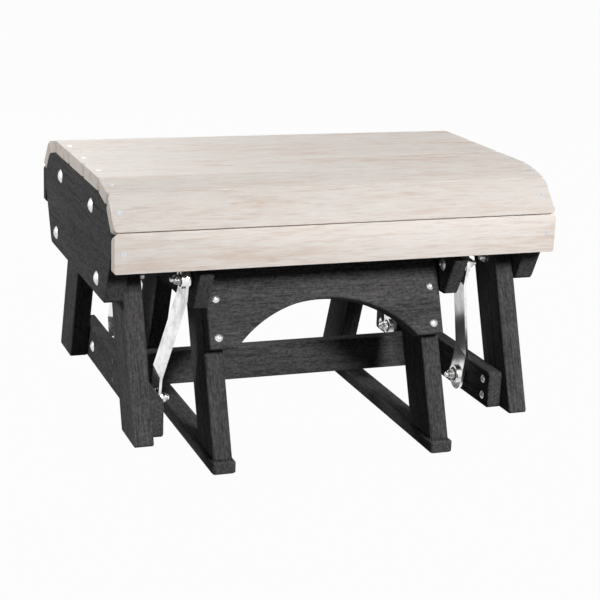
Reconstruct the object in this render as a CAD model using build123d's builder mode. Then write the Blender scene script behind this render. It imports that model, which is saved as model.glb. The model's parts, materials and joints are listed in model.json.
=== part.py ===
from build123d import *
import os
from math import asin, cos, radians, sin, sqrt, tan

# Glider ottoman in solid plastic lumber: a slatted seat frame hangs on four steel
# swing arms from a low base that stands on two skids.
# Millimetres. X to the right, Y to the back, Z up; the origin is on the floor, mid base.

# ---- lumber stock -----------------------------------------------------------------
frame_board = 28.6          # thickness of side panels and legs
rail_board = 22.2           # thickness of rails and stretcher
leg_width = 74.0            # width of every leg, square to its length
eased = 1.5                 # chamfer along the edges of each board

# ---- seat slats -------------------------------------------------------------------
seat_width = 677.0
seat_height = 425.0
slat_thick = 19.0
flat_slats = 3
flat_slat_width = 99.6
bent_slat_width = 49.6      # of the slats that go down the front and the back
slat_gap = 0.4
slat_edge = 1.2             # rounding of a slat's outer edges
slat_corner = 8.0           # rounding of a slat's corners, seen from outside
shoulder_angle = 11.5       # fall of the slat next to the flat ones
corner_angle = 46.0         # fall of the slat next to the upright one

# ---- side panels ------------------------------------------------------------------
panel_height = 155.1        # from the flat slats down
panel_foot = 190.0          # half length of the panel's bottom edge
panel_nose = 24.0           # straight drop behind the upright slat
panel_corner = 12.0

# ---- legs of the hanging frame ----------------------------------------------------
hung_clearance = 55.5       # height of the hanging legs above the floor
hung_foot = 221.0           # centre of a leg's foot, from the middle
hung_splay = 0.375          # run per rise
hung_leg_drop = 7.0         # top of the legs below the slats
foot_round = 4.0

# ---- rails and stretcher of the hanging frame ------------------------------------
side_rail_height = 58.0
side_rail_half = 227.0
side_rail_round = 7.0
stretcher_height = 54.0
stretcher_rise = 3.0        # stretcher's middle above that of the side rails

# ---- base -------------------------------------------------------------------------
base_half = 187.6           # outer face of the base legs, from the middle
skid_width = 36.0
skid_height = 19.0
skid_heel = 42.0            # skid beyond the middle of a leg's foot
skid_round = 6.0
base_foot = 210.5           # where a leg's centre line meets the floor, from the middle
base_splay = 0.393
base_rail_bottom = 235.5
base_rail_height = 60.0
base_rail_foot = 196.0      # half length of the base rail's bottom edge
base_rail_lean = 0.55       # run per rise of the rail's ends
base_rail_round = 9.0
base_leg_drop = 4.0         # top of the base legs below the top of the base rails

# ---- arch boards ------------------------------------------------------------------
arch_board = 25.4           # thickness
arch_height = 122.0         # along the board's slope
arch_bottom = 168.1         # height of the inner bottom edge
arch_inset = 2.0            # of the board's ends, from the legs' outer faces
arch_span = 287.0
arch_rise = 65.5
arch_corner = 22.0
arch_toe = 3.0

# ---- swing arms -------------------------------------------------------------------
upper_pivot_y = 186.5
upper_pivot_z = 280.0
lower_pivot_y = 137.0
lower_pivot_z = 85.0
arm_width = 40.0
arm_thick = 4.0
upper_tab = 27.0            # flat length from a pivot to the bend
lower_tab = 46.0
lower_tail = 5.0            # more bar past the lower pivot than past the upper one
arm_bend = 10.0             # bend radius on the bar's middle
upper_gap = 4.5             # from a rail's face to the cup
lower_gap = 5.0
bearing_radius = 11.0
bearing_width = 11.0
cup_wall = 3.5              # wall of the cup that holds a bearing
cup_width = 13.0
running_clearance = 0.05    # pivot bolt in a bearing
free_clearance = 0.3        # between faces that move past each other
linked_play = 0.4           # play at the right front lower pivot
open_play = 2.6             # play at the back lower pivots

# ---- fasteners --------------------------------------------------------------------
hole_clearance = 0.2
pivot_shank = 4.0
pivot_head = 9.5
pivot_head_rise = 4.5
spacer_radius = 7.5
washer_radius = 8.4         # stays inside the cup at the open pivots, at full travel
washer_thick = 1.6
nut_radius = 7.5
nut_height = 8.5
bolt_end = 5.0              # a bolt's end beyond its nut
carriage_head = 10.5
carriage_head_rise = 5.0
carriage_shank = 4.8
carriage_nut = 8.0
carriage_nut_height = 7.0
panel_bolt_low = 26.0       # up from the panel's bottom edge
panel_bolt_high = 30.0      # down from the flat slats
panel_bolt_offset = 7.0     # from the leg's middle, away from the middle of the seat
lag_head = 6.2
lag_head_rise = 3.0
lag_shank = 3.2
arch_lag_length = 78.0
arch_lag_low = 16.8         # along the arch board's slope
arch_lag_high = 73.7
arch_lag_inset = 14.5       # from the arch board's ends
rail_lag_length = 44.0
rail_lag_inset = 21.0       # from the rail's end to its two screws
rail_lag_spacing = 26.0
base_lag_length = 46.0
base_lag_spacing = 30.0
stretcher_screw_spacing = 30.0
screw_head = 4.0
screw_angle = 82.0          # of a countersunk head
screw_shank = 2.2
slat_screw_length = 46.0
slat_screw_inset = 12.5     # from a slat's end
stretcher_screw_length = 60.0
skid_screw_length = 50.0
skid_screw_spacing = 34.0
skid_screw_recess = 4.0

# ---- worked out -------------------------------------------------------------------
seat_half = seat_width / 2
panel_inner = seat_half - frame_board
hung_leg_inner = panel_inner - frame_board
side_rail_inner = hung_leg_inner - rail_board
base_leg_inner = base_half - frame_board
base_rail_outer = base_half + rail_board
skid_half = base_foot + skid_heel
flat_pitch = flat_slat_width + slat_gap
bent_pitch = bent_slat_width + slat_gap
slat_seat = seat_height - slat_thick
panel_bottom = slat_seat - panel_height
side_rail_top = hung_clearance + side_rail_height
side_rail_middle = hung_clearance + side_rail_height / 2
stretcher_middle = side_rail_middle + stretcher_rise
base_rail_top = base_rail_bottom + base_rail_height
base_rail_middle = base_rail_bottom + base_rail_height / 2
cup_radius = bearing_radius + cup_wall
screw_sink = (screw_head - screw_shank) / tan(radians(screw_angle / 2))
arm_upper_x = base_rail_outer + upper_gap + cup_width / 2
arm_lower_x = side_rail_inner - lower_gap - cup_width / 2
SIDES = {"left": -1, "right": 1}
ENDS = {"front": -1, "back": 1}

os.makedirs("parts", exist_ok=True)


def save(part, name):
    part.label = name
    export_step(part, f"parts/{name}.step")


# ---- shapes that several pieces share ----------------------------------------------
def slat_line():
    """Corners of the line that the slats sit on, from the flat top down to the back."""
    flat_end = flat_slats * flat_pitch / 2
    shoulder = radians(shoulder_angle)
    corner = radians(corner_angle)
    top = (flat_end, slat_seat)
    bend = (top[0] + bent_pitch * cos(shoulder), top[1] - bent_pitch * sin(shoulder))
    brow = (bend[0] + bent_pitch * cos(corner), bend[1] - bent_pitch * sin(corner))
    sill = (brow[0], brow[1] - bent_pitch)
    return top, bend, brow, sill


def leg_middle(foot, foot_z, splay, z):
    """Distance of a leg's centre line from the middle of the object, at height z."""
    return foot - splay * (z - foot_z)


def leg_reach(splay):
    """Half of a leg's level width."""
    return leg_width / 2 * sqrt(1 + splay ** 2)


def side_board(outline, inner, outer, side, round_low=0.0, ease=eased):
    """A board that stands along Y, between two distances from the middle."""
    low = min(side * inner, side * outer)
    with BuildPart() as board:
        with BuildSketch(Plane.YZ.offset(low)) as face:
            with BuildLine():
                Polyline(*outline, close=True)
            make_face()
            if round_low:
                fillet(face.vertices().group_by(Axis.Y)[0], round_low)
        extrude(amount=outer - inner)
        chamfer(board.edges(), ease)
    return board.part


def bore_x(y, z, radius):
    """A hole along X, right through the piece in hand."""
    with Locations(Location((0, y, z), (0, 90, 0))):
        Cylinder(radius, 2 * seat_width, mode=Mode.SUBTRACT)


def domed_bolt(head, rise, shank, length):
    """Bolt or screw with a low domed head that stands on z = 0."""
    ball = (head ** 2 + rise ** 2) / (2 * rise)
    half_turn = asin(head / ball) / 2
    crown = (ball * sin(half_turn), rise - ball + ball * cos(half_turn))
    with BuildPart() as bolt:
        with BuildSketch(Plane.XZ):
            with BuildLine():
                ThreePointArc((head, 0), crown, (0, rise))
                Polyline((0, rise), (0, -length), (shank, -length), (shank, 0), (head, 0))
            make_face()
        revolve(axis=Axis.Z)
    return bolt.part


def sunk_screw(length):
    """Countersunk screw whose head is flush with z = 0."""
    with BuildPart() as screw:
        with BuildSketch(Plane.XZ):
            with BuildLine():
                Polyline(
                    (0, 0), (screw_head, 0), (screw_shank, -screw_sink),
                    (screw_shank, -length), (0, -length), close=True,
                )
            make_face()
        revolve(axis=Axis.Z)
    return screw.part


def lock_nut(radius, height, bore):
    """Hexagon nut with a round collar on its far end; it stands on z = 0."""
    collar = 0.25 * height
    with BuildPart() as nut:
        with BuildSketch():
            RegularPolygon(radius, 6)
        extrude(amount=height - collar)
        with BuildSketch(Plane.XY.offset(height - collar)):
            Circle(0.8 * radius)
        extrude(amount=collar)
        Cylinder(bore, 4 * height, mode=Mode.SUBTRACT)
    return nut.part


def ring(outer, bore, thick):
    """Flat ring that stands on z = 0."""
    with BuildPart() as washer:
        with BuildSketch():
            Circle(outer)
            Circle(bore, mode=Mode.SUBTRACT)
        extrude(amount=thick)
    return washer.part


def along_x(x, y, z, way):
    """Place for a piece made along Z, so that its top looks along X, in way's direction."""
    return Location((x, y, z), (0, 90 * way, 0))


def group(piece, places):
    """The same piece at several places, as one node of separate solids."""
    with BuildPart() as pieces:
        with Locations(*places):
            add(piece)
    return pieces.part


# ---- seat: side panels --------------------------------------------------------------
top, bend, brow, sill = slat_line()
nose = (brow[0], brow[1] - panel_nose)
panel_half = [(panel_foot, panel_bottom), nose, brow, bend, top]
panel_outline = panel_half + [(-y, z) for y, z in reversed(panel_half)]
panel_bolts_at = [
    (end * (leg_middle(hung_foot, hung_clearance, hung_splay, z) + panel_bolt_offset), z)
    for end in ENDS.values()
    for z in (panel_bottom + panel_bolt_low, slat_seat - panel_bolt_high)
]

# ---- seat: slats, each on its own stretch of the slat line ---------------------------
slats = {}
for number in range(flat_slats):
    y = (number - (flat_slats - 1) / 2) * flat_pitch
    slats[f"slat_top_{number + 1}"] = (y, slat_seat, 0.0, flat_slat_width)
for end_name, end in ENDS.items():
    stretches = {
        f"slat_{end_name}_shoulder": (top, bend, shoulder_angle),
        f"slat_{end_name}_corner": (bend, brow, corner_angle),
        f"slat_{end_name}_upright": (brow, sill, 90.0),
    }
    for slat_name, (upper, lower, fall) in stretches.items():
        middle_y = (upper[0] + lower[0]) / 2
        middle_z = (upper[1] + lower[1]) / 2
        slats[slat_name] = (end * middle_y, middle_z, -end * fall, bent_slat_width)

slat_screw_x = seat_half - slat_screw_inset
slat_screws_at = []
for slat_name, (y, z, tilt, slat_width) in slats.items():
    seat = Plane(Plane.YZ.location * Location((y, z, 0), (0, 0, tilt)))
    with BuildPart() as slat:
        with BuildSketch(seat) as end_face:
            Rectangle(slat_width, slat_thick, align=(Align.CENTER, Align.MIN))
        extrude(amount=seat_half, both=True)
        fillet(slat.edges().filter_by(Axis(seat.origin, seat.y_dir)), slat_corner)
        outer_face = slat.faces().sort_by(Axis(seat.origin, seat.y_dir))[-1]
        fillet(outer_face.edges(), slat_edge)
        outside = Plane(
            origin=seat.origin + seat.y_dir * slat_thick,
            x_dir=(1, 0, 0),
            z_dir=seat.y_dir,
        )
        for side in SIDES.values():
            place = outside.location * Location((side * slat_screw_x, 0, 0))
            slat_screws_at.append(place)
            with Locations(place):
                CounterSinkHole(
                    screw_shank + hole_clearance, screw_head + hole_clearance, slat_thick * 2
                )
    save(slat.part, slat_name)

for side_name, side in SIDES.items():
    with BuildPart() as panel:
        add(side_board(panel_outline, panel_inner, seat_half, side, panel_corner))
        for y, z in panel_bolts_at:
            bore_x(y, z, carriage_shank + hole_clearance)
        for place in slat_screws_at:
            with Locations(place):
                Cylinder(
                    screw_shank + hole_clearance, 2 * slat_screw_length + 2, mode=Mode.SUBTRACT
                )
    save(panel.part, f"side_panel_{side_name}")

save(group(sunk_screw(slat_screw_length), slat_screws_at), "slat_screws")

# ---- seat: hanging legs ----------------------------------------------------------------
hung_leg_top = slat_seat - hung_leg_drop
rail_lags_at = [
    (end * (side_rail_half - rail_lag_inset), side_rail_middle + step * rail_lag_spacing / 2)
    for end in ENDS.values()
    for step in (-1, 1)
]
for side_name, side in SIDES.items():
    for end_name, end in ENDS.items():
        low_y = leg_middle(hung_foot, hung_clearance, hung_splay, hung_clearance)
        high_y = leg_middle(hung_foot, hung_clearance, hung_splay, hung_leg_top)
        reach = leg_reach(hung_splay)
        outline = [
            (end * (low_y - reach), hung_clearance),
            (end * (low_y + reach), hung_clearance),
            (end * (high_y + reach), hung_leg_top),
            (end * (high_y - reach), hung_leg_top),
        ]
        with BuildPart() as leg:
            add(side_board(outline, hung_leg_inner, panel_inner, side, foot_round))
            for y, z in panel_bolts_at:
                if y * end > 0:
                    bore_x(y, z, carriage_shank + hole_clearance)
            for y, z in rail_lags_at:
                if y * end > 0:
                    depth = rail_lag_length - rail_board
                    with Locations(Location((side * hung_leg_inner, y, z), (0, 90, 0))):
                        Cylinder(lag_shank + hole_clearance, 2 * depth, mode=Mode.SUBTRACT)
        save(leg.part, f"seat_leg_{end_name}_{side_name}")

bolt_length = 2 * frame_board + carriage_nut_height + bolt_end
panel_bolt = domed_bolt(carriage_head, carriage_head_rise, carriage_shank, bolt_length)
save(
    group(
        panel_bolt,
        [along_x(side * seat_half, y, z, side) for side in SIDES.values() for y, z in panel_bolts_at],
    ),
    "panel_bolts",
)
panel_nut = lock_nut(carriage_nut, carriage_nut_height, carriage_shank + hole_clearance)
save(
    group(
        panel_nut,
        [
            along_x(side * hung_leg_inner, y, z, -side)
            for side in SIDES.values()
            for y, z in panel_bolts_at
        ],
    ),
    "panel_bolt_nuts",
)

# ---- seat: side rails and stretcher ------------------------------------------------------
stretcher_screws_at = [
    stretcher_middle + step * stretcher_screw_spacing / 2 for step in (-1, 1)
]
for side_name, side in SIDES.items():
    low = min(side * side_rail_inner, side * hung_leg_inner)
    with BuildPart() as side_rail:
        with BuildSketch(Plane.YZ.offset(low)):
            with Locations((0, side_rail_middle)):
                RectangleRounded(2 * side_rail_half, side_rail_height, side_rail_round)
        extrude(amount=rail_board)
        chamfer(side_rail.edges(), eased)
        for y, z in rail_lags_at:
            bore_x(y, z, lag_shank + hole_clearance)
        for end in ENDS.values():
            bore_x(end * lower_pivot_y, lower_pivot_z, pivot_shank + hole_clearance)
        with Locations(*[along_x(side * hung_leg_inner, 0, z, side) for z in stretcher_screws_at]):
            CounterSinkHole(
                screw_shank + hole_clearance, screw_head + hole_clearance, rail_board * 2
            )
    save(side_rail.part, f"side_rail_{side_name}")

with BuildPart() as stretcher:
    with Locations((0, 0, stretcher_middle)):
        Box(2 * side_rail_inner, rail_board, stretcher_height)
    chamfer(stretcher.edges().filter_by(Axis.X), eased)
    for z in stretcher_screws_at:
        for side in SIDES.values():
            depth = stretcher_screw_length - rail_board
            with Locations(Location((side * side_rail_inner, 0, z), (0, 90, 0))):
                Cylinder(screw_shank + hole_clearance, 2 * depth + 2, mode=Mode.SUBTRACT)
save(stretcher.part, "cross_stretcher")

rail_lag = domed_bolt(lag_head, lag_head_rise, lag_shank, rail_lag_length)
save(
    group(
        rail_lag,
        [along_x(side * side_rail_inner, y, z, -side) for side in SIDES.values() for y, z in rail_lags_at],
    ),
    "side_rail_screws",
)
save(
    group(
        sunk_screw(stretcher_screw_length),
        [along_x(side * hung_leg_inner, 0, z, side) for side in SIDES.values() for z in stretcher_screws_at],
    ),
    "stretcher_screws",
)

# ---- base: arch boards lie on the outer edges of the legs --------------------------------
base_slope = sqrt(1 + base_splay ** 2)


def arch_plane(end):
    """The plane of the legs' outer edges, its origin at the arch board's bottom edge."""
    edge = leg_middle(base_foot, 0, base_splay, arch_bottom) + leg_reach(base_splay)
    return Plane(origin=(0, end * edge, arch_bottom), x_dir=(-end, 0, 0), z_dir=(0, end, base_splay))


arch_half = base_half - arch_inset
arch_lag_x = arch_half - arch_lag_inset
arch_lags_at = [(side * arch_lag_x, v) for side in SIDES.values() for v in (arch_lag_low, arch_lag_high)]
arch_radius = ((arch_span / 2) ** 2 + arch_rise ** 2) / (2 * arch_rise)
arch_lag_places = []
for end_name, end in ENDS.items():
    plane = arch_plane(end)
    with BuildPart() as arch:
        with BuildSketch(plane) as face:
            Rectangle(2 * arch_half, arch_height, align=(Align.CENTER, Align.MIN))
            fillet(face.vertices().group_by(Axis.Y)[-1], arch_corner)
            with Locations((0, arch_rise - arch_radius)):
                Circle(arch_radius, mode=Mode.SUBTRACT)
            toes = face.vertices().group_by(Axis.Y)[0].sort_by(Axis.X)[1:-1]
            fillet(toes, arch_toe)
        extrude(amount=arch_board)
        chamfer(arch.edges(), eased)
        with Locations(*[plane.location * Location((x, v, 0)) for x, v in arch_lags_at]):
            Cylinder(lag_shank + hole_clearance, 4 * arch_board, mode=Mode.SUBTRACT)
    save(arch.part, f"arch_board_{end_name}")
    arch_lag_places += [plane.location * Location((x, v, arch_board)) for x, v in arch_lags_at]

arch_lag = domed_bolt(lag_head, lag_head_rise, lag_shank, arch_lag_length)
save(group(arch_lag, arch_lag_places), "arch_board_screws")

# ---- base: legs ----------------------------------------------------------------------------
base_leg_top = base_rail_top - base_leg_drop
base_lags_at = [
    (end * leg_middle(base_foot, 0, base_splay, z), z)
    for end in ENDS.values()
    for z in (base_rail_middle - base_lag_spacing / 2, base_rail_middle + base_lag_spacing / 2)
]
skid_screws_y = [
    leg_middle(base_foot, 0, base_splay, skid_height) + step * skid_screw_spacing / 2
    for step in (-1, 1)
]
base_leg_x = base_half - frame_board / 2
for side_name, side in SIDES.items():
    for end_name, end in ENDS.items():
        low_y = leg_middle(base_foot, 0, base_splay, skid_height)
        high_y = leg_middle(base_foot, 0, base_splay, base_leg_top)
        reach = leg_reach(base_splay)
        outline = [
            (end * (low_y - reach), skid_height),
            (end * (low_y + reach), skid_height),
            (end * (high_y + reach), base_leg_top),
            (end * (high_y - reach), base_leg_top),
        ]
        with BuildPart() as leg:
            add(side_board(outline, base_leg_inner, base_half, side))
            for y, z in base_lags_at:
                if y * end > 0:
                    bore_x(y, z, lag_shank + hole_clearance)
            plane = arch_plane(end)
            depth = arch_lag_length - arch_board
            for x, v in arch_lags_at:
                if plane.from_local_coords((x, v, 0)).X * side > 0:
                    with Locations(plane.location * Location((x, v, 0))):
                        Cylinder(lag_shank + hole_clearance, 2 * depth + 2, mode=Mode.SUBTRACT)
            rise = skid_screw_length - skid_height + skid_screw_recess
            for y in skid_screws_y:
                with Locations((side * base_leg_x, end * y, skid_height)):
                    Cylinder(screw_shank + hole_clearance, 2 * rise + 2, mode=Mode.SUBTRACT)
        save(leg.part, f"base_leg_{end_name}_{side_name}")

# ---- base: skids ---------------------------------------------------------------------------
for side_name, side in SIDES.items():
    with BuildPart() as skid:
        with BuildSketch():
            with Locations((side * base_leg_x, 0)):
                RectangleRounded(skid_width, 2 * skid_half, skid_round)
        extrude(amount=skid_height)
        chamfer(skid.edges().group_by(Axis.Z)[-1], 2 * eased)
        chamfer(skid.edges().group_by(Axis.Z)[0], eased)
        for end in ENDS.values():
            for y in skid_screws_y:
                with Locations((side * base_leg_x, end * y, 0)):
                    Cylinder(screw_shank + hole_clearance, 4 * skid_height, mode=Mode.SUBTRACT)
                    Cylinder(
                        screw_head + hole_clearance, 2 * skid_screw_recess, mode=Mode.SUBTRACT
                    )
    save(skid.part, f"base_skid_{side_name}")

skid_screw = domed_bolt(screw_head, screw_sink, screw_shank, skid_screw_length)
save(
    group(
        skid_screw,
        [
            Location((side * base_leg_x, end * y, skid_screw_recess), (180, 0, 0))
            for side in SIDES.values()
            for end in ENDS.values()
            for y in skid_screws_y
        ],
    ),
    "skid_screws",
)

# ---- base: rails that carry the swing arms ---------------------------------------------------
rail_tip = base_rail_foot + base_rail_lean * base_rail_height
base_rail_outline = [
    (-base_rail_foot, base_rail_bottom),
    (base_rail_foot, base_rail_bottom),
    (rail_tip, base_rail_top),
    (-rail_tip, base_rail_top),
]
for side_name, side in SIDES.items():
    with BuildPart() as base_rail:
        add(side_board(base_rail_outline, base_half, base_rail_outer, side, base_rail_round))
        for end in ENDS.values():
            bore_x(end * upper_pivot_y, upper_pivot_z, pivot_shank + hole_clearance)
        for y, z in base_lags_at:
            depth = base_lag_length - frame_board
            with Locations(Location((side * base_half, y, z), (0, 90, 0))):
                Cylinder(lag_shank + hole_clearance, 2 * depth + 2, mode=Mode.SUBTRACT)
    save(base_rail.part, f"base_rail_{side_name}")

base_lag = domed_bolt(lag_head, lag_head_rise, lag_shank, base_lag_length)
save(
    group(
        base_lag,
        [along_x(side * base_leg_inner, y, z, -side) for side in SIDES.values() for y, z in base_lags_at],
    ),
    "base_rail_screws",
)

# ---- swing arms: flat bars with a joggle, a cup and a bearing at each pivot ----------------------
arm_run_y = upper_pivot_y - lower_pivot_y
arm_drop = upper_pivot_z - lower_pivot_z
arm_length = sqrt(arm_run_y ** 2 + arm_drop ** 2)
arm_offset = arm_lower_x - arm_upper_x


def arm_bores(side, end):
    """Bearing bores at the upper and the lower pivot."""
    play = running_clearance
    if end > 0:
        play = open_play
    elif side > 0:
        play = linked_play
    return pivot_shank + running_clearance, pivot_shank + play


for side_name, side in SIDES.items():
    for end_name, end in ENDS.items():
        upper = Vector(0, end * upper_pivot_y, upper_pivot_z)
        lower = Vector(0, end * lower_pivot_y, lower_pivot_z)
        down = (lower - upper).normalized()
        across = Vector(side, 0, 0)
        section = Plane(origin=upper + across * arm_upper_x, x_dir=down, z_dir=down.cross(across))
        pivots = [
            Plane(origin=upper + across * arm_upper_x, x_dir=down, z_dir=across),
            Plane(origin=lower + across * arm_lower_x, x_dir=down, z_dir=across),
        ]
        with BuildPart() as arm:
            with BuildSketch(section):
                with BuildLine():
                    FilletPolyline(
                        (-arm_width, 0), (upper_tab, 0),
                        (arm_length - lower_tab, arm_offset),
                        (arm_length + lower_tail + arm_width, arm_offset),
                        radius=arm_bend,
                    )
                    offset(amount=arm_thick / 2, side=Side.BOTH)
                make_face()
            extrude(amount=arm_width, both=True)
            with BuildSketch(pivots[0]):
                with Locations(((arm_length + lower_tail) / 2, 0)):
                    SlotCenterToCenter(arm_length + lower_tail, arm_width)
            extrude(amount=seat_half, both=True, mode=Mode.INTERSECT)
            for pivot in pivots:
                with BuildSketch(pivot):
                    Circle(cup_radius)
                extrude(amount=cup_width / 2, both=True)
                with BuildSketch(pivot):
                    Circle(bearing_radius)
                extrude(amount=cup_width, both=True, mode=Mode.SUBTRACT)
        save(arm.part, f"swing_arm_{end_name}_{side_name}")

        with BuildPart() as bearings:
            for pivot, bore in zip(pivots, arm_bores(side, end)):
                with BuildSketch(pivot):
                    Circle(bearing_radius)
                    Circle(bore, mode=Mode.SUBTRACT)
                extrude(amount=bearing_width / 2, both=True)
        save(bearings.part, f"arm_bearings_{end_name}_{side_name}")

# ---- pivot bolts: head on the rail's far face, spacer, arm, washer, nut ------------------------
bearing_inset = (cup_width - bearing_width) / 2

pivot_nut = lock_nut(nut_radius, nut_height, pivot_shank + hole_clearance)
washer = ring(washer_radius, pivot_shank + hole_clearance, washer_thick)
pivot_sets = {
    "upper": (base_half, base_rail_outer, upper_pivot_y, upper_pivot_z, 1, upper_gap),
    "lower": (hung_leg_inner, side_rail_inner, lower_pivot_y, lower_pivot_z, -1, lower_gap),
}
for level, (head_x, face_x, y, z, way, gap) in pivot_sets.items():
    spacer_length = gap + bearing_inset - free_clearance
    washer_at = gap + bearing_inset + bearing_width + free_clearance
    nut_at = washer_at + washer_thick
    bolt_reach = rail_board + nut_at + nut_height + bolt_end
    pivot_bolt = domed_bolt(pivot_head, pivot_head_rise, pivot_shank, bolt_reach)
    spacer = ring(spacer_radius, pivot_shank + hole_clearance, spacer_length)

    def at(distance, facing):
        return [
            along_x(side * distance, end * y, z, side * facing)
            for side in SIDES.values()
            for end in ENDS.values()
        ]

    save(group(pivot_bolt, at(head_x, -way)), f"{level}_pivot_bolts")
    save(group(pivot_nut, at(face_x + way * nut_at, way)), f"{level}_pivot_nuts")
    save(group(spacer, at(face_x, way)), f"{level}_pivot_spacers")
    save(group(washer, at(face_x + way * washer_at, way)), f"{level}_pivot_washers")
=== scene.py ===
import json
import math

import bmesh
import bpy
import numpy as np
from mathutils import Matrix, Vector


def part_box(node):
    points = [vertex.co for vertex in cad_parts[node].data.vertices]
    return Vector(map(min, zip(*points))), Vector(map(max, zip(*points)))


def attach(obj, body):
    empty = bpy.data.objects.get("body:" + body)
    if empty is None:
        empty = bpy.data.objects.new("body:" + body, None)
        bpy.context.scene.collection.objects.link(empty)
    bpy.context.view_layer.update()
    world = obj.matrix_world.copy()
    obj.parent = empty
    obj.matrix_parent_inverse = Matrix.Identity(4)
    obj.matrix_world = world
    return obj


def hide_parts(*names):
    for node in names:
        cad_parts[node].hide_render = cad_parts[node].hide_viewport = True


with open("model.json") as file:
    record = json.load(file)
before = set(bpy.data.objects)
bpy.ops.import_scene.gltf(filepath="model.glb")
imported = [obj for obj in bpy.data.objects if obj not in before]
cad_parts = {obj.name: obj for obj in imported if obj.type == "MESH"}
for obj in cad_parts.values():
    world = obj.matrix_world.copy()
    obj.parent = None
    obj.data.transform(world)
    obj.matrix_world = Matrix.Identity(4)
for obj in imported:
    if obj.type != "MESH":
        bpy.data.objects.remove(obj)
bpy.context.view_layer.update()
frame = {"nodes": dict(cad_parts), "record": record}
nodes = frame["nodes"]
bodyOf = {piece: body for body, pieces in frame["record"]["behaviour"]["bodies"].items() for piece in pieces}
mm = 0.001
turn = 2 * math.pi
print("frame loaded,", len(nodes), "nodes")


# a socket that takes part in plain expressions, in shader and in geometry trees
class Wire:
    def __init__(self, tree, socket):
        self.tree = tree
        self.socket = socket

    def apply(self, operation, *others):
        return self.maths(operation, self, *others)

    def maths(self, operation, *values):
        node = self.tree.nodes.new("ShaderNodeMath")
        node.operation = operation
        for slot, value in zip(node.inputs, values):
            plug(self.tree, slot, value)
        return Wire(self.tree, node.outputs[0])

    def __add__(self, other):
        return self.maths("ADD", self, other)

    def __radd__(self, other):
        return self.maths("ADD", other, self)

    def __sub__(self, other):
        return self.maths("SUBTRACT", self, other)

    def __rsub__(self, other):
        return self.maths("SUBTRACT", other, self)

    def __mul__(self, other):
        return self.maths("MULTIPLY", self, other)

    def __rmul__(self, other):
        return self.maths("MULTIPLY", other, self)

    def __truediv__(self, other):
        return self.maths("DIVIDE", self, other)

    def __rtruediv__(self, other):
        return self.maths("DIVIDE", other, self)

    def __mod__(self, other):
        return self.maths("MODULO", self, other)

    def __neg__(self):
        return self.apply("MULTIPLY", -1.0)

    def __gt__(self, other):
        return self.maths("GREATER_THAN", self, other)


def plug(tree, slot, value):
    if isinstance(value, Wire):
        tree.links.new(value.socket, slot)
    else:
        slot.default_value = value


class Graph:
    # a node tree under construction
    def __init__(self, tree):
        self.tree = tree

    def add(self, kind, sockets=None, output=0, settings=None, items=0):
        # items: how many values an index switch holds. With output None, all outputs are given back
        node = self.tree.nodes.new(kind)
        for key, value in (settings or {}).items():
            setattr(node, key, value)
        while items > len(getattr(node, "index_switch_items", ())):
            node.index_switch_items.new()
        for key, value in (sockets or {}).items():
            plug(self.tree, node.inputs[key], value)
        if output is None:
            return [Wire(self.tree, socket) for socket in node.outputs]
        return Wire(self.tree, node.outputs[output])


def srgb(red, green, blue):
    def linear(value):
        value /= 255
        return value / 12.92 if value <= 0.04045 else ((value + 0.055) / 1.055) ** 2.4
    return (linear(red), linear(green), linear(blue), 1)


def newFinish(name):
    material = bpy.data.materials.new(name)
    material.use_nodes = True
    material.node_tree.nodes.clear()
    return material, Graph(material.node_tree)


def close(material, graph, shader):
    graph.add("ShaderNodeOutputMaterial", {"Surface": shader}, output=None)
    return material


def blend(graph, amount, first, second):
    return graph.add("ShaderNodeMix", {0: amount, 6: first, 7: second}, output=2,
                     settings={"data_type": "RGBA"})


def mask(graph, value, limits):
    # 0 at the first limit and the full amount at the second one, which may be the lower of the two
    start, end, amount = limits
    return amount * graph.add("ShaderNodeMapRange", {0: value, 1: start, 2: end}, settings={"clamp": True})


def grain(graph, direction):
    # place measured along a board's grain, and the two places across it
    coords = graph.add("ShaderNodeTexCoord", output="Object")
    x, y, z = graph.add("ShaderNodeSeparateXYZ", {0: coords}, output=None)
    if direction == "x":
        return x, y, z
    lean = math.atan(direction)
    return z * math.cos(lean) + y * math.sin(lean), x, y * math.cos(lean) - z * math.sin(lean)


wideStep, deepStep = 2.3, -1.7      # how far a seed moves a pattern across the grain, next to 1 along it


def noise(graph, space, layer, cut=0.0, fine=1.0):
    # layer: features per metre along the grain and across it, detail, roughness, seed, distortion
    along, wide, deep = space
    lengthways, crossways, detail, rough, seed, distortion = layer
    crossways *= fine
    seed += cut
    place = graph.add("ShaderNodeCombineXYZ", {
        0: along * lengthways + seed,
        1: wide * crossways + wideStep * seed,
        2: deep * crossways + deepStep * seed})
    return graph.add("ShaderNodeTexNoise", {
        "Vector": place, "Scale": 1.0, "Detail": detail, "Roughness": rough, "Distortion": distortion})


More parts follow.
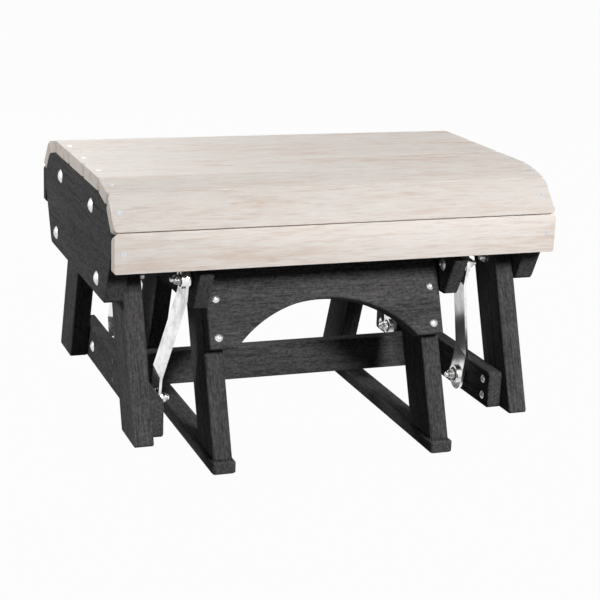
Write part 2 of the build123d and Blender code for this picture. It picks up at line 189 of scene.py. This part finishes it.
paleBoard = {
    "base": srgb(231, 223, 216),
    "light": srgb(240, 234, 229),
    "grey": srgb(206, 194, 189),
    "brown": srgb(205, 172, 144),
    "roughness": 0.58,
    "roughSpread": 0.14,
    "gloss": 0.08,
    "cut": 7.31,           # step from one board's stretch of the pattern to the next one's
    # painted light and shade: each slat's colours are scaled by its place, darker on the corner slat that
    # faces the front lamp and lighter on the top and upright slats, so that top, corner and front render
    # alike
    "tone": {"top": 1.02, "shoulder": 1.0, "corner": 0.92, "upright": 1.08},
    "fineness": {"top": 0.5, "shoulder": 0.6, "corner": 0.85, "upright": 1.0},
    "layers": {            # in the order that noise() takes
        "fibre": (36, 560, 5.0, 0.65, 3.1, 0.0),
        "lines": (24, 330, 4.0, 0.66, 7.7, 0.1),
        "streaks": (15, 170, 4.0, 0.6, 1.9, 0.2),
        "flecks": (28, 260, 3.0, 0.55, 5.9, 0.1),
    },
    "broad": (4, 24, 2.0, 0.5, 11.3, 0.0),
    "masks": {             # in the order that mask() takes
        "light": (0.38, 0.66, 0.7),
        "grey": (0.5, 0.68, 0.5),
        "tint": (0.49, 0.66, 0.36),
        "spots": (0.58, 0.68, 0.5),
    },
}


def paleLumber(board, place):
    # each board is cut from another stretch of the pattern
    material, graph = newFinish(f"slatLumber{board}")
    # tone is painted light and shade that evens out how brightly the lamps light each place
    tone, fine = paleBoard["tone"][place], paleBoard["fineness"][place]
    base, light, grey, brown = (
        tuple(tone * share for share in paleBoard[key][:3]) + (1,)
        for key in ("base", "light", "grey", "brown"))
    space = grain(graph, "x")
    cut, masks = paleBoard["cut"] * board, paleBoard["masks"]
    fibre, lines, streaks, flecks = (
        noise(graph, space, layer, cut, fine) for layer in paleBoard["layers"].values())
    broad = noise(graph, space, paleBoard["broad"], cut)
    colour = blend(graph, mask(graph, fibre, masks["light"]), base, light)
    colour = blend(graph, mask(graph, lines, masks["grey"]), colour, grey)
    colour = blend(graph, mask(graph, streaks * 0.65 + broad * 0.35, masks["tint"]), colour, brown)
    colour = blend(graph, mask(graph, flecks * 0.62 + broad * 0.38, masks["spots"]), colour, brown)
    bump = graph.add("ShaderNodeBump", {"Height": fibre * 0.6 + lines * 0.4, "Strength": 0.35,
                                        "Distance": 0.0005})
    shader = graph.add("ShaderNodeBsdfPrincipled", {
        "Base Color": colour, "Normal": bump,
        "Roughness": paleBoard["roughness"] + fibre * paleBoard["roughSpread"],
        "Specular IOR Level": paleBoard["gloss"]})
    return close(material, graph, shader)


blackBoard = {
    "base": srgb(66, 65, 66),
    "light": srgb(124, 122, 123),
    "dark": srgb(26, 25, 26),
    "roughness": 0.6,
    "roughSpread": 0.16,
    "gloss": 0.008,
    "layers": {
        "fibre": (46, 560, 5.0, 0.7, 5.3, 0.0),
        "lines": (9, 260, 4.0, 0.65, 2.3, 0.3),
        "weave": (190, 300, 3.0, 0.6, 8.1, 0.0),
        "broad": (3, 22, 3.0, 0.55, 13.7, 0.0),
    },
    "masks": {"worn": (0.43, 0.66, 0.72), "pits": (0.46, 0.36, 0.42), "dull": (0.35, 0.7, 0.25)},
}


def blackLumber(name, direction):
    material, graph = newFinish(name)
    space, masks = grain(graph, direction), blackBoard["masks"]
    fibre, lines, weave, broad = (noise(graph, space, layer) for layer in blackBoard["layers"].values())
    worn = mask(graph, fibre * 0.4 + lines * 0.2 + weave * 0.4, masks["worn"])
    colour = blend(graph, worn, blackBoard["base"], blackBoard["light"])
    pits = mask(graph, lines * 0.5 + fibre * 0.5, masks["pits"])
    colour = blend(graph, pits, colour, blackBoard["dark"])
    colour = blend(graph, mask(graph, broad, masks["dull"]), colour, blackBoard["dark"])
    bump = graph.add("ShaderNodeBump", {"Height": fibre * 0.6 + weave * 0.4, "Strength": 0.4,
                                        "Distance": 0.0005})
    shader = graph.add("ShaderNodeBsdfPrincipled", {
        "Base Color": colour, "Normal": bump,
        "Roughness": blackBoard["roughness"] + broad * blackBoard["roughSpread"],
        "Specular IOR Level": blackBoard["gloss"]})
    return close(material, graph, shader)


metals = {                 # tint, shade, roughness, and the scale of the blotches
    "slatScrew": (srgb(193, 197, 204), srgb(168, 172, 179), 0.55, 160.0),
    "zincBar": (srgb(249, 249, 248), srgb(206, 206, 207), 0.12, 42.0),
    "stainlessBolt": (srgb(226, 225, 223), srgb(190, 190, 190), 0.3, 160.0),
    "zincNut": (srgb(208, 208, 206), srgb(160, 160, 160), 0.26, 120.0),
}
scratchScale = 9           # of the scratches, next to the blotches
metalMask = (0.42, 0.68, 1.0)
smallSpread = 0.2          # of the roughness, on metal and on small plastic pieces


def metal(name):
    # zinc plate or stainless steel, with soft blotches and fine scratches
    tint, shade, roughness, scale = metals[name]
    material, graph = newFinish(name)
    coords = graph.add("ShaderNodeTexCoord", output="Object")
    blotch = graph.add("ShaderNodeTexNoise", {"Vector": coords, "Scale": scale, "Detail": 3.0,
                                              "Roughness": 0.55})
    fine = graph.add("ShaderNodeTexNoise", {"Vector": coords, "Scale": scratchScale * scale, "Detail": 3.0})
    colour = blend(graph, mask(graph, blotch * 0.8 + fine * 0.2, metalMask), tint, shade)
    bump = graph.add("ShaderNodeBump", {"Height": blotch * 0.7 + fine * 0.3, "Strength": 0.3,
                                        "Distance": 0.0004})
    shader = graph.add("ShaderNodeBsdfPrincipled", {
        "Base Color": colour, "Metallic": 1.0, "Normal": bump,
        "Roughness": roughness + blotch * smallSpread})
    return close(material, graph, shader)


plasticLook = {"worn": srgb(58, 57, 58), "scale": 260.0, "mask": (0.4, 0.65, 0.5), "gloss": 0.3}


def darkPlastic(name, colour, roughness):
    material, graph = newFinish(name)
    coords = graph.add("ShaderNodeTexCoord", output="Object")
    cloud = graph.add("ShaderNodeTexNoise", {"Vector": coords, "Scale": plasticLook["scale"],
                                             "Detail": 3.0})
    tone = blend(graph, mask(graph, cloud, plasticLook["mask"]), colour, plasticLook["worn"])
    shader = graph.add("ShaderNodeBsdfPrincipled", {
        "Base Color": tone, "Roughness": roughness + cloud * smallSpread,
        "Specular IOR Level": plasticLook["gloss"]})
    return close(material, graph, shader)


hungSplay = 0.375          # run per rise of the hanging legs
baseSplay = 0.393
flatRun = 1e6              # of a board that lies along Y
finishes = {
    "across": blackLumber("boardsAcross", "x"),
    "deep": blackLumber("boardsDeep", flatRun),
    "hung front": blackLumber("hungLegsFront", hungSplay),
    "hung back": blackLumber("hungLegsBack", -hungSplay),
    "base front": blackLumber("baseLegsFront", baseSplay),
    "base back": blackLumber("baseLegsBack", -baseSplay),
    "slat screw": metal("slatScrew"),
    "arm": metal("zincBar"),
    "stainless": metal("stainlessBolt"),
    "zinc nut": metal("zincNut"),
    "bearing": darkPlastic("bearingRing", srgb(26, 26, 27), 0.4),
    "black screw": darkPlastic("blackScrew", srgb(34, 33, 34), 0.42),
}
print("finishes made")


slatNames = [name for name in sorted(nodes) if name.startswith("slat_") and name != "slat_screws"]
for board, name in enumerate(slatNames):
    place = "top" if name.startswith("slat_top") else name.split("_")[-1]
    finishes[name] = finishes["across"] if name == "slat_back_upright" else paleLumber(board, place)


def boardFinish(name):
    if name in slatNames:
        return finishes[name]
    if name.startswith(("arch_board", "cross_stretcher")):
        return finishes["across"]
    if "_leg_" in name:
        frameName = "base" if name.startswith("base") else "hung"
        return finishes[frameName + (" front" if "_front_" in name else " back")]
    if name.startswith("swing_arm"):
        return finishes["arm"]
    if name.startswith("arm_bearings"):
        return finishes["bearing"]
    return finishes["deep"]


for name, node in nodes.items():
    node.data.materials.clear()
    node.data.materials.append(boardFinish(name))
print("boards and bars dressed")


# the slats round the front and back edge are bevelled, so that their outer faces meet at tight seams
bentSlats = {
    "shoulder": 11.5,      # fall of the slat next to the flat ones, in degrees
    "corner": 46.0,
    "upright": 90.0,
    "pitch": 50.0 * mm,
    "seam": 0.5 * mm,
    "browSeam": 1.4 * mm,  # between the corner slat and the upright one
    "apron": 1.2 * mm,     # how far an upright slat reaches below the one that it stands for
    "rounding": 7.0 * mm,  # of a slat's corners, seen from outside
    "lowRounding": 3.0 * mm,
    "ease": 0.9 * mm,
    "headRise": 0.2 * mm,  # of the screw heads on these slats
    "roundSteps": 6,
    "easeSteps": 3,
    "crease": 28.0,        # degrees, past which an edge shows sharp
    "outerFace": 0.8,      # least cosine between the outer face and the way out
}
newFaces = []              # old way out, new middle and new way out of each face that was made anew


def outward(fall):
    return Vector((math.sin(math.radians(fall)), math.cos(math.radians(fall))))


def slatSections():
    # in the plane of Y and Z, on the back's side: inner top, inner low, outer low, outer top
    low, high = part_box("slat_top_3")
    upLow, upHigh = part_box("slat_back_upright")
    shoulder, corner, pitch = bentSlats["shoulder"], bentSlats["corner"], bentSlats["pitch"]
    thick = high[2] - low[2]
    top = Vector((high[1] + bentSlats["seam"] / 2, low[2]))
    bend = top + pitch * Vector((math.cos(math.radians(shoulder)), -math.sin(math.radians(shoulder))))
    brow = bend + pitch * Vector((math.cos(math.radians(corner)), -math.sin(math.radians(corner))))
    bisector = outward((shoulder + corner) / 2)
    ridge = bend + bisector * thick / math.cos(math.radians((corner - shoulder) / 2))
    gap = bentSlats["seam"] / 2 * Vector((bisector.y, -bisector.x))
    down = Vector((math.cos(math.radians(corner)), -math.sin(math.radians(corner))))
    edge = ridge + down * (upHigh[1] - ridge.x) / down.x
    back = down * bentSlats["browSeam"] / 2
    drop = Vector((0, bentSlats["browSeam"] / 2))
    sill = upLow[2] - bentSlats["apron"]
    return {
        "shoulder": [top, bend - gap, ridge - gap, Vector((top.x, high[2]))],
        "corner": [bend + gap, brow - back, edge - back, ridge + gap],
        "upright": [brow - drop, Vector((brow.x, sill)), Vector((edge.x, sill)), edge - drop],
    }


sortDigits = 6             # decimals of a metre in which two middles are told apart


def setInOrder(shape):
    # a bevel adds its points, edges and faces in an order that changes from run to run
    for pieces, middleOf in ((shape.verts, lambda point: point.co),
                             (shape.edges, lambda edge: (edge.verts[0].co + edge.verts[1].co) / 2),
                             (shape.faces, lambda face: face.calc_center_median())):
        ranked = sorted(pieces, key=lambda piece: [round(part, sortDigits) for part in middleOf(piece)])
        ranks = {piece: rank for rank, piece in enumerate(ranked)}
        pieces.sort(key=ranks.get)


def makeSlat(name, section, half):
    shape = bmesh.new()
    rows = [[shape.verts.new((side * half, point.x, point.y)) for point in section] for side in (-1, 1)]
    shape.faces.new(rows[0])
    shape.faces.new(rows[1][::-1])
    for one in range(4):
        two = (one + 1) % 4
        shape.faces.new((rows[0][one], rows[1][one], rows[1][two], rows[0][two]))
    bmesh.ops.recalc_face_normals(shape, faces=shape.faces)
    low = "lowRounding" if name.endswith("upright") else "rounding"
    for one, two, size in ((1, 2, low), (3, 0, "rounding")):
        ends = [shape.edges.get((row[one], row[two])) for row in rows]
        bmesh.ops.bevel(shape, geom=ends, offset=bentSlats[size], segments=bentSlats["roundSteps"],
                        profile=0.5, affect="EDGES", clamp_overlap=True)
    middle = sum(section, Vector((0, 0))) / 4
    outer = (section[2] + section[3]) / 2
    way = Vector((0, *(outer - middle))).normalized()
    outerFaces = [face for face in shape.faces if face.normal.dot(way) > bentSlats["outerFace"]]
    face = max(outerFaces, key=lambda face: face.calc_area())
    bmesh.ops.bevel(shape, geom=face.edges[:], offset=bentSlats["ease"], segments=bentSlats["easeSteps"],
                    profile=0.5, affect="EDGES", clamp_overlap=True)
    setInOrder(shape)
    mesh = bpy.data.meshes.new(name)
    shape.to_mesh(mesh)
    shape.free()
    mesh.shade_smooth()
    mesh.set_sharp_from_angle(angle=math.radians(bentSlats["crease"]))
    mesh.materials.append(boardFinish(name))
    piece = bpy.data.objects.new(name + "_bevelled", mesh)
    bpy.context.scene.collection.objects.link(piece)
    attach(piece, bodyOf[name])
    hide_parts(name)


for endName, end in (("front", -1), ("back", 1)):
    for part, section in slatSections().items():
        name = f"slat_{endName}_{part}"
        placed = [Vector((end * point.x, point.y)) for point in section]
        makeSlat(name, placed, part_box(name)[1][0])
        across = placed[3] - placed[2]
        normal = Vector((-across.y, across.x)) if end < 0 else Vector((across.y, -across.x))
        oldWay = outward(bentSlats[part])
        newFaces.append((Vector((0, end * oldWay.x, oldWay.y)), (placed[2] + placed[3]) / 2,
                         normal.normalized()))
print("bent slats made")


# the fasteners are measured on the frame and turned in finer detail by Geometry Nodes
weld = 1e-6                # metres, within which two points of a node are one
sliver = 1e-9              # square metres, under which a face's normal isn't trusted
sameLevel = 1e-5           # metres, within which two heights or distances are alike
sameWay = 0.999            # least cosine between two directions that are alike


def looseParts(name):
    # the separate solids of a node: each one's points, and its faces' normals
    shape = bmesh.new()
    shape.from_mesh(nodes[name].data)
    bmesh.ops.remove_doubles(shape, verts=shape.verts, dist=weld)
    shape.faces.index_update()
    parts, seen = [], set()
    for start in shape.verts:
        if start in seen:
            continue
        island, waiting = [], [start]
        seen.add(start)
        while waiting:
            point = waiting.pop()
            island.append(point)
            for edge in point.link_edges:
                other = edge.other_vert(point)
                if other not in seen:
                    seen.add(other)
                    waiting.append(other)
        faces = sorted({face for point in island for face in point.link_faces},
                       key=lambda face: face.index)      # in one order, so that each run is alike
        parts.append((np.array([point.co[:] for point in island]),
                      np.array([face.normal[:] for face in faces if face.calc_area() > sliver])))
    shape.free()
    return parts


def measure(points, normals, lengthways=None):
    # axis from the flat end, the middle of that end, and each point's place and distance
    rough = lengthways
    if rough is None:
        rough = np.linalg.svd(points - points.mean(0))[2][0]
    axis = normals[np.argmax(np.abs(normals @ rough))]
    for end in range(2):       # the second time from the other end, if the head was at this one
        along = points @ axis
        flat = points[along < along.min() + sameLevel]
        foot = flat.mean(0)
        along = along - along.min()
        away = np.linalg.norm(points - foot - np.outer(along, axis), axis=1)
        widest = along[away > away.max() - sameLevel].max()
        if widest > along.max() / 2:
            break
        axis = -axis
    return axis, foot, along, away


boltSides = 32
ringSides = 36
domeSteps = 7
threadTurns = 7
spunWeld = 2e-6            # metres, within which points of a spun piece are joined
spunCrease = 0.6           # radians, past which its edges show sharp


def makeTree(name, sizes, sides, stationsOf):
    # a spun outline, one copy on each point of the mesh, its Z along the point's axis
    tree = bpy.data.node_groups.new(name, "GeometryNodeTree")
    graph = Graph(tree)
    tree.interface.new_socket(name="Places", in_out="INPUT", socket_type="NodeSocketGeometry")
    for size, start in sizes.items():
        socket = tree.interface.new_socket(name=size, in_out="INPUT", socket_type="NodeSocketFloat")
        socket.default_value = start
    tree.interface.new_socket(name="Seed", in_out="INPUT", socket_type="NodeSocketInt")
    tree.interface.new_socket(name="Finish", in_out="INPUT", socket_type="NodeSocketMaterial")
    tree.interface.new_socket(name="Pieces", in_out="OUTPUT", socket_type="NodeSocketGeometry")
    groupInput = graph.add("NodeGroupInput", output=None)
    given = dict(zip(["Places", *sizes, "Seed", "Finish"], groupInput))

    stations = stationsOf(given)
    columns = sides + 1
    grid = graph.add("GeometryNodeMeshGrid", {"Vertices X": len(stations), "Vertices Y": columns})
    index = graph.add("GeometryNodeInputIndex")
    ring = (index / columns).apply("FLOOR")
    angle = (index % columns) * (turn / sides)
    radius, height, cornered = (
        graph.add("GeometryNodeIndexSwitch",
                  {"Index": ring, **{1 + row: station[part] for row, station in enumerate(stations)}},
                  settings={"data_type": "FLOAT"}, items=len(stations))
        for part in range(3))
    corner = turn / given["Corners"]
    within = angle % corner - corner / 2
    flats = (corner / 2).apply("COSINE") / within.apply("COSINE")
    radius = radius * (1 + cornered * (flats - 1))
    place = graph.add("ShaderNodeCombineXYZ", {
        0: radius * angle.apply("COSINE"), 1: radius * angle.apply("SINE"), 2: height})
    piece = graph.add("GeometryNodeSetPosition", {"Geometry": grid, "Position": place})
    piece = graph.add("GeometryNodeMergeByDistance", {"Geometry": piece, "Distance": spunWeld})
    bend = graph.add("GeometryNodeInputMeshEdgeAngle")
    piece = graph.add("GeometryNodeSetShadeSmooth", {"Geometry": piece, "Shade Smooth": True})
    piece = graph.add("GeometryNodeSetShadeSmooth",
                      {"Geometry": piece, "Selection": bend > spunCrease, "Shade Smooth": False},
                      settings={"domain": "EDGE"})

    axis = graph.add("GeometryNodeInputNamedAttribute", {"Name": "axis"},
                     settings={"data_type": "FLOAT_VECTOR"})
    upright = graph.add("FunctionNodeAlignRotationToVector", {"Vector": axis}, settings={"axis": "Z"})
    spin = graph.add("FunctionNodeRandomValue", {2: 0.0, 3: turn, "Seed": given["Seed"]}, output=1,
                     settings={"data_type": "FLOAT"})
    spun = graph.add("FunctionNodeAxisAngleToRotation", {"Axis": (0, 0, 1), "Angle": spin})
    turned = graph.add("FunctionNodeRotateRotation", {"Rotation": upright, "Rotate By": spun},
                       settings={"rotation_space": "LOCAL"})
    copies = graph.add("GeometryNodeInstanceOnPoints", {
        "Points": given["Places"], "Instance": piece, "Rotation": turned})
    copies = graph.add("GeometryNodeRealizeInstances", {"Geometry": copies})
    copies = graph.add("GeometryNodeSetMaterial", {"Geometry": copies, "Material": given["Finish"]})
    graph.add("NodeGroupOutput", {0: copies}, output=None)
    return tree


boltForm = {
    "recessFloor": 0.86,   # of the recess's mouth
    "domeStart": 1.06,     # of the recess's mouth
    "underside": 0.995,    # of the head
    "thread": (0.1, 0.35, 0.7),    # of a turn: where its crest starts and ends, and its root
    "tip": 0.9,            # of the thread's root
}


def boltStations(given):
    # from the bottom of the drive recess over the head and down the shank
    head, rise, sink = given["Head Radius"], given["Head Rise"], given["Sink"]
    shank, length = given["Shank Radius"], given["Length"]
    recess, deep, rim = given["Recess Radius"], given["Recess Depth"], given["Rim Height"]
    dome = recess * boltForm["domeStart"]
    stations = [(0.0, rise - deep, 0.0), (recess * boltForm["recessFloor"], rise - deep, 1.0),
                (recess, rise, 1.0)]
    for step in range(domeSteps):
        share = (step + 1) / (domeSteps + 1)
        reach = dome + (head - dome) * share
        slope = reach / head
        stations.append((reach, rim + (rise - rim) * (1 - slope * slope), 0.0))
    stations += [(head, rim, 0.0), (head * boltForm["underside"], 0.0, 0.0), (shank, -sink, 0.0)]
    start = length - given["Thread Length"]
    pitch = given["Thread Length"] / threadTurns
    groove = shank - given["Thread Depth"]
    for step in range(threadTurns):
        stations += [(radius, -(start + pitch * (step + share)), 0.0)
                     for radius, share in zip((shank, shank, groove), boltForm["thread"])]
    stations += [(groove * boltForm["tip"], -length, 0.0), (0.0, -length, 0.0)]
    return stations


def ringStations(given):
    # from the bore's top edge outwards, down, inwards and up the bore again
    outer, bore, thick = given["Outer Radius"], given["Bore"], given["Height"]
    collar, step, ease = given["Collar Radius"], given["Collar Height"], given["Ease"]
    hexagon = given["Hexagon"]
    body = thick - step
    return [
        (bore + ease, thick, 0.0), (collar - ease * 2, thick, 0.0), (collar, thick - ease * 2, 0.0),
        (collar, body, 0.0), (outer - ease * 2, body, 0.0), (outer, body - ease, hexagon),
        (outer, ease, hexagon), (outer - ease * 2, 0.0, 0.0), (bore + ease, 0.0, 0.0),
        (bore, ease, 0.0), (bore, thick - ease, 0.0), (bore + ease, thick, 0.0)]


boltSizes = {"Head Radius": 0.01, "Head Rise": 0.004, "Rim Height": 0.001, "Sink": 0.0,
             "Shank Radius": 0.004, "Length": 0.05, "Recess Radius": 0.002, "Recess Depth": 0.0,
             "Corners": 4.0, "Thread Length": 0.014, "Thread Depth": 0.0004}
ringSizes = {"Outer Radius": 0.0075, "Bore": 0.0042, "Height": 0.0085, "Collar Radius": 0.006,
             "Collar Height": 0.002, "Ease": 0.0003, "Hexagon": 1.0, "Corners": 6.0}
boltTree = makeTree("turnedBolts", boltSizes, boltSides, boltStations)
ringTree = makeTree("turnedRings", ringSizes, ringSides, ringStations)


def fasten(name, tree, sizes, finish, places, axes, seed):
    # one mesh for each node: its points carry the copies, and the result is kept plain
    points = bpy.data.meshes.new(name + "_places")
    points.from_pydata([tuple(place) for place in places], [], [])
    stored = points.attributes.new("axis", "FLOAT_VECTOR", "POINT")
    stored.data.foreach_set("vector", np.array(axes, dtype=np.float32).ravel())
    carrier = bpy.data.objects.new(name + "_carrier", points)
    bpy.context.scene.collection.objects.link(carrier)
    modifier = carrier.modifiers.new("turning", "NODES")
    modifier.node_group = tree
    values = {**sizes, "Seed": seed, "Finish": finish}
    for item in tree.interface.items_tree:
        if item.in_out == "INPUT" and item.name in values:
            modifier[item.identifier] = values[item.name]
    evaluated = carrier.evaluated_get(bpy.context.evaluated_depsgraph_get())
    mesh = bpy.data.meshes.new_from_object(evaluated)
    carrier.modifiers.remove(modifier)
    bpy.data.objects.remove(carrier)
    piece = bpy.data.objects.new(name + "_turned", mesh)
    bpy.context.scene.collection.objects.link(piece)
    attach(piece, bodyOf[name])
    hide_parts(name)


def makeBolts(name, look, seed):
    parts = looseParts(name)
    readings = [measure(*part) for part in parts]
    along, away = readings[0][2:]
    wide = away.max()
    seat = along[away > wide - sameLevel].max()
    rise = along.max() - seat
    shank = away[along < sameLevel].max()
    below = along[(away < shank + sameLevel) & (along > sameLevel)]
    sizes = {
        "Head Radius": wide, "Head Rise": rise, "Rim Height": look["rim"] * rise, "Shank Radius": shank,
        "Sink": 0.0 if rise > sameLevel else seat - below.max(),
        "Length": seat, "Recess Radius": look["recess"] * wide, "Recess Depth": look["depth"],
        "Corners": look["corners"], "Thread Length": look["thread"], "Thread Depth": look["groove"]}
    places, axes = [], []
    for axis, foot, along, away in readings:
        place = foot + axis * seat
        for oldWay, middle, normal in newFaces if look.get("slats") else ():
            if oldWay.dot(axis) > sameWay:
                proud = middle + normal * bentSlats["headRise"]
                place = np.array((place[0], *proud))
                axis = np.array((0, *normal))
        places.append(place)
        axes.append(axis)
    fasten(name, boltTree, sizes, look["finish"], places, axes, seed)


def makeRings(name, look, seed):
    readings = [measure(*part, lengthways=np.array((1.0, 0, 0))) for part in looseParts(name)]
    along, away = readings[0][2:]
    thick = along.max()
    wide = away.max()
    collar, step = wide, 0.0
    if look["hexagon"]:
        top = away[along > thick - sameLevel].max()
        low = away[along < sameLevel].max()
        collar = min(top, low)
        levels = np.unique(np.round(along, 6))
        step = min(levels[1] - levels[0], levels[-1] - levels[-2])
    sizes = {"Outer Radius": wide, "Bore": away.min(), "Height": thick, "Collar Radius": collar,
             "Collar Height": step, "Ease": look["ease"], "Hexagon": look["hexagon"], "Corners": 6.0}
    places, axes = [], []
    for axis, foot, along, away in readings:
        if look["hexagon"] and away[along > along.max() - sameLevel].max() > collar + sameLevel:
            foot = foot + axis * thick      # the collar is at this end, so the nut is turned about
            axis = -axis
        places.append(foot)
        axes.append(axis)
    fasten(name, ringTree, sizes, look["finish"], places, axes, seed)


carriageBolts = {"recess": 0.1, "depth": 0.0, "corners": 4.0, "thread": 20 * mm, "groove": 0.5 * mm,
                 "rim": 0.12, "finish": finishes["stainless"]}
pivotBolts = {"recess": 0.22, "depth": 0.7 * mm, "corners": 6.0, "thread": 16 * mm, "groove": 0.45 * mm,
              "rim": 0.16, "finish": finishes["stainless"]}
lagScrews = {"recess": 0.33, "depth": 1.6 * mm, "corners": 4.0, "thread": 26 * mm, "groove": 0.6 * mm,
             "rim": 0.14, "finish": finishes["stainless"]}
slatScrews = {"recess": 0.34, "depth": 1.5 * mm, "corners": 4.0, "thread": 24 * mm, "groove": 0.45 * mm,
              "rim": 0.0, "slats": True, "finish": finishes["slat screw"]}
blackScrews = {**slatScrews, "slats": False, "finish": finishes["black screw"]}
lockNuts = {"ease": 0.35 * mm, "hexagon": 1.0, "finish": finishes["zinc nut"]}
plainWashers = {"ease": 0.15 * mm, "hexagon": 0.0, "finish": finishes["zinc nut"]}
spacerTubes = {"ease": 0.2 * mm, "hexagon": 0.0, "finish": finishes["bearing"]}

turnedBolts = {
    "panel_bolts": carriageBolts, "upper_pivot_bolts": pivotBolts, "lower_pivot_bolts": pivotBolts,
    "arch_board_screws": lagScrews, "side_rail_screws": lagScrews, "base_rail_screws": lagScrews,
    "slat_screws": slatScrews, "stretcher_screws": blackScrews, "skid_screws": blackScrews,
}
turnedRings = {
    "panel_bolt_nuts": lockNuts, "upper_pivot_nuts": lockNuts, "lower_pivot_nuts": lockNuts,
    "upper_pivot_washers": plainWashers, "lower_pivot_washers": plainWashers,
    "upper_pivot_spacers": spacerTubes, "lower_pivot_spacers": spacerTubes,
}
for seed, (name, look) in enumerate(turnedBolts.items()):
    makeBolts(name, look, seed)
for seed, (name, look) in enumerate(turnedRings.items()):
    makeRings(name, look, seed)
print("fasteners turned:", len(turnedBolts) + len(turnedRings), "nodes")


# the floor is pale paper to the camera and dark to the lamps, so that it throws little light on the object
floorLook = {"half": 30.0, "colour": (0.09, 0.09, 0.09, 1), "paper": 0.975, "clearance": 0.1 * mm}


def showsPaper(graph):
    # 1 where the camera, or a reflection, sees the backdrop itself
    rays = graph.add("ShaderNodeLightPath", output=None)
    camera, glossy, through = (
        ray for ray in rays
        if ray.socket.name in ("Is Camera Ray", "Is Glossy Ray", "Is Transmission Ray"))
    return camera.apply("MAXIMUM", glossy).apply("MAXIMUM", through)


def makeFloor():
    half = floorLook["half"]
    mesh = bpy.data.meshes.new("floor")
    low = -floorLook["clearance"]
    mesh.from_pydata([(-half, -half, low), (half, -half, low), (half, half, low), (-half, half, low)], [],
                     [(0, 1, 2, 3)])
    material, graph = newFinish("paleFloor")
    board = graph.add("ShaderNodeBsdfPrincipled", {"Base Color": floorLook["colour"], "Roughness": 0.9,
                                                   "Specular IOR Level": 0.1})
    paper = graph.add("ShaderNodeEmission", {"Color": (1, 1, 1, 1), "Strength": 1.0})
    mixed = graph.add("ShaderNodeMixShader", {0: showsPaper(graph) * floorLook["paper"], 1: board, 2: paper})
    mesh.materials.append(close(material, graph, mixed))
    floor = bpy.data.objects.new("floor", mesh)
    bpy.context.scene.collection.objects.link(floor)


ambient = 0.032            # the backdrop's own light on the object


def makeWorld():
    world = bpy.data.worlds.new("studio")
    bpy.context.scene.world = world
    world.use_nodes = True
    world.node_tree.nodes.clear()
    graph = Graph(world.node_tree)
    backdrop = graph.add("ShaderNodeBackground", {
        "Color": (1, 1, 1, 1), "Strength": showsPaper(graph) * (1 - ambient) + ambient})
    graph.add("ShaderNodeOutputWorld", {"Surface": backdrop}, output=None)


lamps = {                  # azimuth and elevation in degrees, distance and size in metres, strength
    "frontLamp": (12, 28, 2.9, 0.6, 0.83),
    "leftLamp": (-96, 22, 3.0, 0.8, 0.42),
    "backLamp": (180, 21, 3.0, 1.2, 0.54),
    "rightLamp": (98, 14, 3.0, 0.8, 0.32),
}
lampAim = (0, 0, 0.22)     # about the middle of the object


def makeLamp(name, azimuth, elevation, distance, size, strength):
    # strength is how bright a white board that faces the lamp becomes
    side, height = math.radians(azimuth), math.radians(elevation)
    away = Vector((math.sin(side) * math.cos(height), -math.cos(side) * math.cos(height), math.sin(height)))
    light = bpy.data.lights.new(name, "AREA")
    light.shape = "DISK"
    light.size = size
    light.energy = strength * math.pi ** 2 * distance ** 2
    lampObject = bpy.data.objects.new(name, light)
    lampObject.location = Vector(lampAim) + away * distance
    lampObject.rotation_euler = (-away).to_track_quat("-Z", "Y").to_euler()
    bpy.context.scene.collection.objects.link(lampObject)


view = {
    "place": (-825.2, -2302.7, 867.4),
    "yaw": 20.306,
    "pitch": 15.589,
    "roll": -2.110,
    "frame": 600,          # width of the picture in pixels
    "focal": 1582.43,      # in the same pixels
}


def makeCamera():
    yaw, pitch, roll = (math.radians(view[key]) for key in ("yaw", "pitch", "roll"))
    ahead = Vector((math.sin(yaw) * math.cos(pitch), math.cos(yaw) * math.cos(pitch), -math.sin(pitch)))
    level = Vector((math.cos(yaw), -math.sin(yaw), 0))
    down = ahead.cross(level)
    rightward = math.cos(roll) * level + math.sin(roll) * down
    downward = -math.sin(roll) * level + math.cos(roll) * down
    camera = bpy.data.cameras.new("camera")
    camera.sensor_width = 36
    camera.lens = view["focal"] * camera.sensor_width / view["frame"]
    camera.clip_end = 100
    cameraObject = bpy.data.objects.new("camera", camera)
    facing = Matrix((rightward, -downward, -ahead)).transposed()
    cameraObject.matrix_world = Matrix.Translation(Vector(view["place"]) * mm) @ facing.to_4x4()
    bpy.context.scene.collection.objects.link(cameraObject)
    bpy.context.scene.camera = cameraObject


makeFloor()
makeWorld()
for name, setting in lamps.items():
    makeLamp(name, *setting)
makeCamera()
bpy.context.scene.view_settings.view_transform = "Standard"
print("floor, lamps and camera placed")
